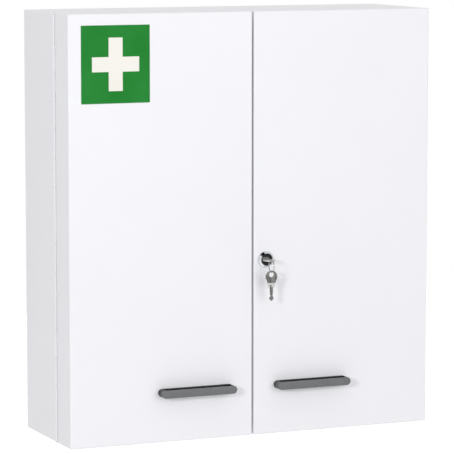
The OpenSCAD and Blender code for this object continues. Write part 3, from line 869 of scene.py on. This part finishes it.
@dataclass
class CamLock:
    """The cam lock in the right door. Sizes are in millimetres.

    Its own axes: z out of the door, with 0 on the door's face.

    Attributes:
        door_y: Place of the door's face.
        rosette_radius: Radius of the rosette on the door.
        rosette_out: How far the rosette stands out.
        bevel: How far in and how far down the rosette's bevel goes from its rim.
        rim: Width of the rosette's rim round the mouth.
        soft: Radius of the rim's edges.
        shoulder: Radius of the shoulder under the bevel.
        shoulder_drop: How far the shoulder's centre is below the bevel.
        draft: How much narrower the rosette is at the shoulder than at its foot.
        skirt: Height of the straight side above its foot.
        foot: Chamfer where it meets the door.
        mouth_radius: Radius of the mouth where the plug's face is.
        mouth_flare: How much wider the mouth is at the rim.
        plug_front: Place of the plug's face.
        mouth_floor: Place of the step behind the plug's head.
        bore_radius: Radius of the bore behind the step.
        barrel_radius: Radius of the threaded barrel.
        flat_half: Half the distance across the barrel's flats.
        barrel_end: Place of the barrel's back end.
        end_chamfer: How far in the barrel's back edge is cut.
        neck: Place where the thread starts.
        run_out: Plain length behind the thread.
        pitch: Pitch of the thread.
        thread_depth: Depth of the thread.
        crest: How blunt the thread's crests are, as a share of its depth.
        segments: Points round the barrel.
        nut_half_flats: Half the distance across the nut's flats.
        nut_near: Place of the nut's face by the door.
        nut_far: Place of its other face.
        nut_cone: How far in and how far below each face the cone that turned its corners passes.
        nut_gap: Gap between the nut and the barrel.
        nut_chamfer: Chamfer at both ends of its hole.
    """

    door_y: float = -180.0
    rosette_radius: float = 11.6
    rosette_out: float = 5.5
    bevel: float = 2.6
    rim: float = 0.3
    soft: float = 0.3
    shoulder: float = 1.2
    shoulder_drop: float = 0.9
    draft: float = 0.1
    skirt: float = 0.6
    foot: float = 0.15
    mouth_radius: float = 7.35
    mouth_flare: float = 1.15
    plug_front: float = 2.9
    mouth_floor: float = -0.2
    bore_radius: float = 6.05
    barrel_radius: float = 9.0
    flat_half: float = 8.0
    barrel_end: float = -24.5
    end_chamfer: float = 0.3
    neck: float = -1.2
    run_out: float = 1.0
    pitch: float = 1.0
    thread_depth: float = 0.35
    crest: float = 0.3
    segments: int = 96
    nut_half_flats: float = 12.0
    nut_near: float = -1.0
    nut_far: float = -5.0
    nut_cone: tuple[Flat, ...] = ((1.9, 0.0), (1.2, 0.25), (0.0, 0.8))
    nut_gap: float = 0.1
    nut_chamfer: float = 0.5

    def ring(self, radius: Callable[[float], float], z: float, flat: float = math.inf) -> list[Point]:
        """Return a ring about the lock's axis.

        Args:
            radius: The radius at an angle in radians.
            z: The ring's place along the axis.
            flat: Half the distance between two flats, above and below the axis.

        Returns:
            The ring.
        """
        points = []
        for k in range(self.segments):
            angle = 2 * math.pi * k / self.segments
            reach = radius(angle)
            y = max(-flat, min(flat, reach * math.sin(angle)))
            points.append((reach * math.cos(angle), y, z))
        return points

    def turned(self, profile: Iterable[Flat], flat: float = math.inf) -> list[list[Point]]:
        """Return the rings of a form turned about the lock's axis.

        Args:
            profile: Pairs of a radius and a place along the axis.
            flat: Half the distance between two flats, above and below the axis.

        Returns:
            The rings.
        """
        return [self.ring(lambda _: radius, z, flat) for radius, z in profile]

    def thread(self, z: float) -> Callable[[float], float]:
        """Return the barrel's radius round the axis where a thread runs round it.

        Args:
            z: The place along the axis.

        Returns:
            The radius at an angle.
        """
        def radius(angle: float) -> float:
            """Return the radius of a sharp thread with blunted crests."""
            turn = (z / self.pitch - angle / (2 * math.pi)) % 1.0
            depth = max(0.0, abs(2 * turn - 1) * (1 + self.crest) - self.crest)
            return self.barrel_radius - self.thread_depth * depth
        return radius

    def barrel(self) -> bpy.types.Mesh:
        """Make the rosette, the threaded barrel and its bore in one closed skin."""
        mouth_edge = self.mouth_radius + self.mouth_flare
        rim_radius = mouth_edge + self.rim
        mouth = [(mouth_edge + into, self.rosette_out - down)
                 for into, down in reversed(rounding(self.soft, 3))]
        rim = arc((rim_radius - self.soft, self.rosette_out - self.soft), self.soft,
                  start=90, end=45, steps=3)
        centre = (self.rosette_radius - self.draft - self.shoulder,
                  self.rosette_out - self.bevel - self.shoulder_drop)
        bulge = arc(centre, self.shoulder, start=45, end=2, steps=6)
        foot = [(self.rosette_radius, self.skirt), (self.rosette_radius, self.foot),
                (self.rosette_radius - self.foot, 0.0)]
        thread_end = self.barrel_end + self.run_out
        rings_a_turn, gap, seat = 6, 0.1, -0.02  # gap beside the thread, seat behind the rosette
        steps = round((self.neck - thread_end) / self.pitch * rings_a_turn)
        threaded = [self.ring(self.thread(z), z, self.flat_half)
                    for z in (self.neck + (thread_end - self.neck) * k / steps for k in range(steps + 1))]
        root = self.barrel_radius - self.thread_depth
        plain = self.turned([(root, seat), (root, self.neck + gap)], self.flat_half)
        back = self.turned([(root, thread_end - gap), (root - self.end_chamfer, self.barrel_end)],
                           self.flat_half)
        bore = self.turned([
            (self.bore_radius, self.barrel_end), (self.bore_radius, self.mouth_floor),
            (self.mouth_radius, self.mouth_floor), (self.mouth_radius, self.plug_front),
        ])
        form = Form()
        form.skin([*self.turned(mouth + rim + bulge + foot), *plain, *threaded, *back, *bore], around=True)
        return form.finished("lock_barrel", self.place())

    def nut(self) -> bpy.types.Mesh:
        """Make the hexagon nut, with its corners turned off on both faces."""
        def hexagon(limit: float) -> Callable[[float], float]:
            """Return the radius of a hexagon that a cone has turned down to a limit."""
            sector = math.pi / 3
            return lambda angle: min(limit, self.nut_half_flats / math.cos(angle % sector - sector / 2))
        corner = self.nut_half_flats / math.cos(math.pi / 6)
        near = [(corner - into, self.nut_near - down) for into, down in self.nut_cone]
        far = [(corner - into, self.nut_far + down) for into, down in reversed(self.nut_cone)]
        outside = [self.ring(hexagon(limit), z) for limit, z in near + far]
        hole = self.barrel_radius + self.nut_gap
        wide = hole + self.nut_chamfer
        inside = self.turned([
            (wide, self.nut_far), (hole, self.nut_far + self.nut_chamfer),
            (hole, self.nut_near - self.nut_chamfer), (wide, self.nut_near),
        ])
        form = Form()
        form.skin([*outside, *inside], around=True)
        return form.finished("chamfered_nut", self.place(), smooth_below=24.0)

    def place(self) -> Matrix:
        """Return the lock's axes in the model's frame."""
        least, greatest = node_box("lock_body")
        middle = (least + greatest) / 2
        return axes_at((middle.x, self.door_y, middle.z), (1, 0, 0), (0, 0, 1))

    def dress(self) -> None:
        """Give the lock's nodes their finishes."""
        # the plug's darker chrome is painted shade of its recessed face
        dress_nodes(("lock_plug",), Finish.SMOKED_CHROME)
        dress_nodes(("lock_cam", "cam_screw"), Finish.ZINC)

    def build(self) -> None:
        """Make the pieces that are finer than the CAD nodes."""
        add_piece("lock_barrel", self.barrel(), "right_door", [Finish.CHROME], "lock_body")
        add_piece("chamfered_nut", self.nut(), "right_door", [Finish.CHROME], "lock_nut")


class KeyPart(IntEnum):
    """The parts of a key that have a finish of their own, by their material slots."""

    BOW = 0
    COLLAR = 1
    BLADE = 2
    GROOVE = 3


@dataclass
class FlatKey:
    """A flat key, cut on both edges. Sizes are in millimetres.

    Its own axes: y from the end of the bow to the tip, x across and z through its thickness.

    Attributes:
        length: Its overall length.
        thick: Its thickness at the bow.
        blade_share: Thickness of the collar and the blade as a share of the bow's.
        bow_radius: Half the bow's width.
        bow_length: Length of the bow.
        bow_foot: Half the bow's width where it meets the collar.
        bow_lean: How much wider the bow is where its foot's cut corner starts.
        foot_cut: How far before the end of the bow that corner starts.
        bow_seam: How far before the end of the bow the collar's finish starts.
        hole_radius: Radius of the hole in the bow.
        hole_at: Distance of the hole's middle from the end of the bow.
        collar_half: Half the collar's width.
        collar_length: Length of the collar.
        corner: How far the corners of the bow's foot and the collar are cut off.
        blade_half: Half the blade's width.
        blade_seam: How far beyond the collar the blade's finish starts.
        cuts: Depths of the cuts.
        cut_pitch: Distance between the cuts.
        first_cut: Distance of the first cut from the collar, in pitches.
        cut_flat: Half the length of a cut's flat bottom.
        tip_half: Half the tip's width.
        tip_length: Length of the tip.
        tip_corners: How far in from the side each corner of the tip is, and how far back from its end as a
            share of its length.
        tip_end: Half the width of its end.
        groove_at: How far the grooves are from the middle of the blade.
        groove_half: Half the width of the grooves along the blade.
        groove_depth: Their depth.
        groove_start: How far beyond the bow they start.
        groove_short: How far before the tip they end.
        groove_floor: Width of their floor as a share of their width, and the depth where it starts.
        step_from: How far before the end of the bow its slope down to the collar starts.
        step_to: How far beyond the end of the bow the slope ends.
        edge: Radius of its edges.
    """

    length: float = 42.8
    thick: float = 1.6
    blade_share: float = 0.74
    bow_radius: float = 8.75
    bow_length: float = 18.5
    bow_foot: float = 6.0
    bow_lean: float = 0.05
    foot_cut: float = 0.5
    bow_seam: float = 1.0
    hole_radius: float = 3.7
    hole_at: float = 5.7
    collar_half: float = 4.9
    collar_length: float = 5.0
    corner: float = 0.4
    blade_half: float = 3.2
    blade_seam: float = 0.2
    cuts: tuple[float, ...] = (0.3, 1.1, 0.5, 1.4, 0.8, 1.8)
    cut_pitch: float = 2.0
    first_cut: float = 0.8
    cut_flat: float = 0.3
    tip_half: float = 3.5
    tip_length: float = 5.6
    tip_corners: tuple[Flat, ...] = ((0.0, 0.6), (0.5, 0.45))
    tip_end: float = 0.8
    groove_at: float = 1.1
    groove_half: float = 0.9
    groove_depth: float = 0.32
    groove_start: float = 1.8
    groove_short: float = 8.0
    groove_floor: float = 0.6
    step_from: float = 0.9
    step_to: float = 0.1
    edge: float = 0.2

    def outline(self) -> list[Flat]:
        """Return the key's anticlockwise outline."""
        half = arc((0, self.bow_radius), self.bow_radius, start=-90, end=36, steps=28)
        blade_at = self.bow_length + self.collar_length
        half += [(self.bow_foot + self.bow_lean, self.bow_length - self.foot_cut),
                 (self.bow_foot - self.corner, self.bow_length), (self.collar_half, self.bow_length),
                 (self.collar_half, blade_at - self.corner), (self.collar_half - self.corner, blade_at),
                 (self.blade_half, blade_at)]
        for k, depth in enumerate(self.cuts):
            middle = blade_at + (k + self.first_cut) * self.cut_pitch
            half += [(self.blade_half - depth, middle + along) for along in (-self.cut_flat, self.cut_flat)]
        half += [(self.tip_half - into, self.length - share * self.tip_length)
                 for into, share in self.tip_corners]
        half.append((self.tip_end, self.length))
        return half + [(-x, y) for x, y in reversed(half[1:])]

    def thin_blade(self, form: Form) -> None:
        """Slope the bow down to a thinner collar and blade.

        Args:
            form: The key so far.
        """
        slope_start, slope_end = self.bow_length - self.step_from, self.bow_length + self.step_to
        form.slice_at((slope_start, slope_end))
        for corner in form.mesh.verts:
            share = min(1.0, max(0.0, (corner.co.y - slope_start) / (slope_end - slope_start)))
            corner.co.z *= 1 + (self.blade_share - 1) * share

    def groove(self, face: int) -> Form:
        """Make the form of the groove along one face of the blade.

        Args:
            face: 1 for the upper face, -1 for the lower one.

        Returns:
            The form.
        """
        surface = self.thick / 2 * self.blade_share
        above, run_in, run_out = 1.0, 0.8, 2.0  # clear of the face, and slopes at the ends
        start, end = self.bow_length + self.groove_start, self.length - self.groove_short
        half, low = self.groove_half, self.groove_half * self.groove_floor
        wall, floor = -self.groove_depth * self.groove_floor, -self.groove_depth
        section = [(-half, above), (half, above), (half, wall), (low, floor), (-low, floor), (-half, wall)]
        stations = ((start, self.groove_depth), (start + run_in, 0.0),
                    (end - run_out, 0.0), (end, self.groove_depth))
        form = Form()
        form.loft([[(x + face * self.groove_at, y, face * (surface + lift + rise)) for x, rise in section]
                   for y, lift in stations])
        return form

    def mesh(self, name: str, place: Matrix, highlight_rim: bool) -> bpy.types.Mesh:
        """Make the key's mesh.

        Args:
            name: The mesh's name.
            place: Where the key's axes are.
            highlight_rim: Whether the bow's rim gets the brighter nickel as a painted highlight, as on the
                key in the lock.

        Returns:
            The mesh, with a material slot for each KeyPart.
        """
        form = Form()
        hole = arc((0, self.hole_at), self.hole_radius, start=360, end=10, steps=35)
        form.plate(self.outline(), [hole], self.thick, self.edge)
        self.thin_blade(form)
        for face in (1, -1):
            form.combine(self.groove(face), "DIFFERENCE")
        form.slice_at([self.bow_length + self.collar_length + self.blade_seam])
        sunk = self.thick / 2 * self.blade_share - 0.05
        facing_up, facing_out = 0.3, 0.9
        for face in form.mesh.faces:
            middle = face.calc_center_median()
            along, tilt = middle.y - self.bow_length, abs(face.normal.z)
            # faces inside the grooves get near-black nickel: painted shade
            if along > self.groove_start and abs(middle.z) < sunk and tilt > facing_up:
                face.material_index = KeyPart.GROOVE
            # the blade gets a darker nickel
            elif along > self.collar_length + self.blade_seam:
                face.material_index = KeyPart.BLADE
            # the collar, and the bow's rim on the key in the lock, get brighter nickel: a painted highlight
            elif along > -self.bow_seam or (highlight_rim and tilt < facing_out):
                face.material_index = KeyPart.COLLAR
            else:
                face.material_index = KeyPart.BOW
        return form.finished(name, place)


@dataclass
class SplitRing:
    """A ring of two coils side by side. Sizes are in millimetres.

    Its own axes: x through the ring, y and z in its plane.

    Attributes:
        radius: Radius of the middle of its wire.
        wire: Thickness of the wire, measured across the ring.
        coil: Width of one coil.
        wire_edge: Radius of the wire's edges.
        coil_gap: Gap between the coils.
        open_angle: Degrees that its wire falls short of two turns.
        lap_at: Angle where its ends are, in degrees.
        stretches: Stretches along the wire.
    """

    radius: float = 8.9
    wire: float = 0.96
    coil: float = 0.64
    wire_edge: float = 0.24
    coil_gap: float = 0.02
    open_angle: float = 24.0
    lap_at: float = 305.0
    stretches: int = 220

    def mesh(self, name: str, place: Matrix) -> bpy.types.Mesh:
        """Make the ring's mesh: one wire swept round twice, with a jog where it changes sides.

        Args:
            name: The mesh's name.
            place: Where the ring's axes are.

        Returns:
            The mesh.
        """
        section = round_rect(self.wire, self.coil, self.wire_edge, 3)
        run = 720 - self.open_angle
        rings = []
        for k in range(self.stretches + 1):
            turned = run * k / self.stretches
            angle = math.radians(self.lap_at + self.open_angle / 2 + turned)
            cosine, sine = math.cos(angle), math.sin(angle)
            jog = min(1.0, max(0.0, (turned - run / 2) / self.open_angle + 0.5))
            side = (jog * jog * (3 - 2 * jog) - 0.5) * (self.coil + self.coil_gap)
            rings.append([(side + across, (self.radius + radial) * cosine, (self.radius + radial) * sine)
                          for radial, across in section])
        form = Form()
        form.loft(rings)
        return form.finished(name, place, smooth_below=40.0)


@dataclass
class KeySet:
    """The two keys and the split ring that joins them, each where its CAD node is.

    Attributes:
        key: What both keys are like.
        ring: What the ring is like.
    """

    key: FlatKey
    ring: SplitRing

    def build(self) -> None:
        """Make both keys and the ring."""
        # copies of the key's nickel: the collar's is brighter as a painted highlight, the groove's near-black
        # as painted shade, the blade's darker
        finish_of = {
            KeyPart.BOW: Finish.DULL_NICKEL,
            KeyPart.COLLAR: Finish.HIGHLIGHT_NICKEL,
            KeyPart.BLADE: Finish.DARKER_NICKEL,
            KeyPart.GROOVE: Finish.GROOVE_SHADE,
        }
        finishes = [finish_of[part] for part in KeyPart]
        least, greatest = node_box("inserted_key")
        middle = (least + greatest) / 2
        inwards = axes_at((middle.x, least.y, middle.z), (1, 0, 0), (0, 1, 0))
        inserted = self.key.mesh("key_in_lock", inwards, highlight_rim=True)
        add_piece("key_in_lock", inserted, "lock_plug", finishes, "inserted_key")
        least, greatest = node_box("spare_key")
        middle = (least + greatest) / 2
        downwards = axes_at((middle.x, middle.y, greatest.z), (1, 0, 0), (0, 0, -1))
        spare = self.key.mesh("key_on_ring", downwards, highlight_rim=False)
        add_piece("key_on_ring", spare, "spare_key", finishes, "spare_key")
        least, greatest = node_box("key_ring")
        loop = self.ring.mesh("split_ring", Matrix.Translation((least + greatest) / 2))
        add_piece("split_ring", loop, "key_ring", [Finish.POLISHED_STEEL], "key_ring")


# ---------------------------------------------------------------- studio


@dataclass(frozen=True)
class SoftLamp:
    """A square soft lamp aimed at the middle of the doors.

    Attributes:
        name: The lamp's name.
        heading: Degrees to the right of straight in front of the cabinet.
        rise: Degrees above the middle of the doors.
        reach: Distance from the middle of the doors, in metres.
        size: Length of its sides, in metres.
        power: Its power, in watts.
    """

    name: str
    heading: float
    rise: float
    reach: float
    size: float
    power: float

    def build(self, middle: Vector) -> None:
        """Make the lamp.

        Args:
            middle: What it is aimed at.
        """
        data = bpy.data.lights.new(self.name, "AREA")
        data.size = self.size
        data.energy = self.power
        lamp = bpy.data.objects.new(self.name, data)
        out = towards(self.heading, self.rise)
        lamp.location = middle + out * self.reach
        lamp.rotation_euler = (-out).to_track_quat("-Z", "Y").to_euler()
        bpy.context.scene.collection.objects.link(lamp)


def towards(heading: float, rise: float) -> Vector:
    """Return the unit vector from the doors to a place in front of them.

    Args:
        heading: Degrees to the right of straight in front.
        rise: Degrees above level.

    Returns:
        The unit vector.
    """
    turn, lift = math.radians(heading), math.radians(rise)
    return Vector((math.sin(turn) * math.cos(lift), -math.cos(turn) * math.cos(lift), math.sin(lift)))


@dataclass
class Studio:
    """Camera, lamps, background, floor and the dark cards that give bright metal its contrast.

    Attributes:
        eye: The camera's place.
        heading: Degrees from +Y towards +X that the camera looks.
        pitch: Degrees above the horizon that it looks.
        lens: The camera's focal length, in millimetres.
        sensor: The width of its sensor, in millimetres.
        clip: The nearest and the farthest distance that it sees.
        middle: The middle of the doors, which the lamps are aimed at.
        floor_z: Height of the floor, well below a cabinet that hangs on a wall.
        floor_reach: Distance of the floor's edges from the cabinet.
        floor_glow: How much of the floor's own light the camera and reflections see.
        ambient: Strength of the light from level all round.
        overhead: Strength of the light from straight above.
        lamps: The soft lamps.
    """

    eye: Point = (-1.5583, -3.7056, 0.4550)
    heading: float = 23.2975
    pitch: float = -6.7747
    lens: float = 218.90
    sensor: float = 36.0
    clip: tuple[float, float] = (0.05, 60.0)
    middle: Point = (0.0, -0.18, 0.0)
    floor_z: float = -3.0
    floor_reach: float = 18.0
    floor_glow: float = 0.62
    ambient: float = 0.355
    overhead: float = 0.82
    lamps: tuple[SoftLamp, ...] = (
        SoftLamp("key_lamp", heading=-48, rise=11, reach=3.0, size=0.45, power=25.2),
        SoftLamp("front_lamp", heading=16, rise=6, reach=3.4, size=2.0, power=30.6),
    )

    def build(self) -> None:
        """Make everything that isn't part of the object."""
        self.camera()
        self.background()
        self.floor()
        self.dark_card("right_card", heading=26, rise=-9, reach=3.2, width=1.5, height=1.1)
        self.dark_card("top_card", heading=-42, rise=62, reach=2.6, width=3.6, height=2.0)
        for lamp in self.lamps:
            lamp.build(Vector(self.middle))

    def camera(self) -> None:
        """Place the camera and make it the scene's camera."""
        data = bpy.data.cameras.new("camera")
        data.sensor_width = self.sensor
        data.lens = self.lens
        data.clip_start, data.clip_end = self.clip
        camera = bpy.data.objects.new("camera", data)
        camera.location = self.eye
        ahead = -towards(-self.heading, -self.pitch)
        camera.rotation_euler = ahead.to_track_quat("-Z", "Y").to_euler()
        bpy.context.scene.collection.objects.link(camera)
        bpy.context.scene.camera = camera

    @staticmethod
    def panel(name: str, width: float, height: float, z: float = 0.0) -> bpy.types.Object:
        """Add a rectangle about its origin to the scene, in the XY plane until it is turned.

        Args:
            name: Its name.
            width: Its length along x, in metres.
            height: Its length along y, in metres.
            z: Its height above its own origin.

        Returns:
            The object.
        """
        mesh = bpy.data.meshes.new(name)
        corners = [(x * width / 2, y * height / 2, z) for x, y in ((-1, -1), (1, -1), (1, 1), (-1, 1))]
        mesh.from_pydata(corners, [], [(0, 1, 2, 3)])
        panel = bpy.data.objects.new(name, mesh)
        bpy.context.scene.collection.objects.link(panel)
        return panel

    @staticmethod
    def seen_ray(nodes: bpy.types.Nodes, links: bpy.types.NodeLinks) -> bpy.types.NodeSocket:
        """Add nodes that give 1 to rays that show the background, and 0 to rays that light things.

        Args:
            nodes: The node tree's nodes.
            links: The node tree's links.

        Returns:
            The socket that holds the value.
        """
        path = nodes.new("ShaderNodeLightPath")
        seen = path.outputs["Is Camera Ray"]
        for ray in ("Is Glossy Ray", "Is Transmission Ray"):
            either = nodes.new("ShaderNodeMath")
            either.operation = "MAXIMUM"
            links.new(seen, either.inputs[0])
            links.new(path.outputs[ray], either.inputs[1])
            seen = either.outputs["Value"]
        return seen

    def background(self) -> None:
        """Make a background that is white for the camera and for reflections, and softer as a light."""
        world = bpy.data.worlds.new("studio")
        bpy.context.scene.world = world
        world.use_nodes = True
        nodes, links = world.node_tree.nodes, world.node_tree.links
        height = nodes.new("ShaderNodeSeparateXYZ")
        links.new(nodes.new("ShaderNodeTexCoord").outputs["Generated"], height.inputs["Vector"])
        sky = nodes.new("ShaderNodeMapRange")
        sky.inputs["To Min"].default_value = self.ambient
        sky.inputs["To Max"].default_value = self.overhead
        links.new(height.outputs["Z"], sky.inputs["Value"])
        strength = nodes.new("ShaderNodeMapRange")
        strength.inputs["To Max"].default_value = 1.0
        links.new(self.seen_ray(nodes, links), strength.inputs["Value"])
        links.new(sky.outputs["Result"], strength.inputs["To Min"])
        links.new(strength.outputs["Result"], nodes["Background"].inputs["Strength"])
        nodes["Background"].inputs["Color"].default_value = (1, 1, 1, 1)

    def floor(self) -> None:
        """Lay a pale floor that is white where it is fully lit and keeps the shadow."""
        floor = self.panel("floor", 2 * self.floor_reach, 2 * self.floor_reach, self.floor_z)
        tree = ShaderTree("floor_paint")
        tree.colour_between(tree.noise(1.5, detail=2), (0.84, 0.84, 0.84), (0.87, 0.87, 0.87))
        tree.constant(roughness=0.8, specular_ior_level=0.1)
        tree.surface.inputs["Emission Color"].default_value = (1, 1, 1, 1)
        glow = tree.nodes.new("ShaderNodeMath")
        glow.operation = "MULTIPLY"
        glow.inputs[1].default_value = self.floor_glow
        tree.links.new(self.seen_ray(tree.nodes, tree.links), glow.inputs[0])
        tree.links.new(glow.outputs["Value"], tree.surface.inputs["Emission Strength"])
        floor.data.materials.append(tree.material)

    def dark_card(self, name: str, heading: float, rise: float, reach: float,
                  width: float, height: float) -> None:
        """Stand a dark card where only reflections find it.

        Args:
            name: The card's name.
            heading: Degrees to the right of straight in front of the cabinet.
            rise: Degrees above the middle of the doors.
            reach: Distance from the middle of the doors, in metres.
            width: The card's width, in metres.
            height: The card's height, in metres.
        """
        card = self.panel(name, width, height)
        out = towards(heading, rise)
        card.location = Vector(self.middle) + out * reach
        card.rotation_euler = (-out).to_track_quat("Z", "Y").to_euler()
        tree = ShaderTree(name)
        tree.colour_between(tree.noise(3, detail=2), (0.012, 0.012, 0.013), (0.02, 0.02, 0.021))
        tree.constant(roughness=0.9, specular_ior_level=0.05)
        card.data.materials.append(tree.material)
        card.visible_camera = card.visible_diffuse = card.visible_shadow = False
        card.visible_transmission = False


def main() -> None:
    """Build the studio and every sub-assembly in order."""
    logging.basicConfig(level=logging.INFO, format="%(message)s")
    bpy.context.scene.view_settings.view_transform = "Standard"
    Studio().build()
    BodyShell().dress()
    for side in Side:
        ContinuousHinge(side).dress()
        TrayDoor(side).dress()
        TroughHandle(side).build()
    FirstAidSign().dress()
    SlideBolt().dress()
    lock = CamLock()
    lock.dress()
    lock.build()
    KeySet(FlatKey(), SplitRing()).build()


if __name__ == "__main__":
    main()
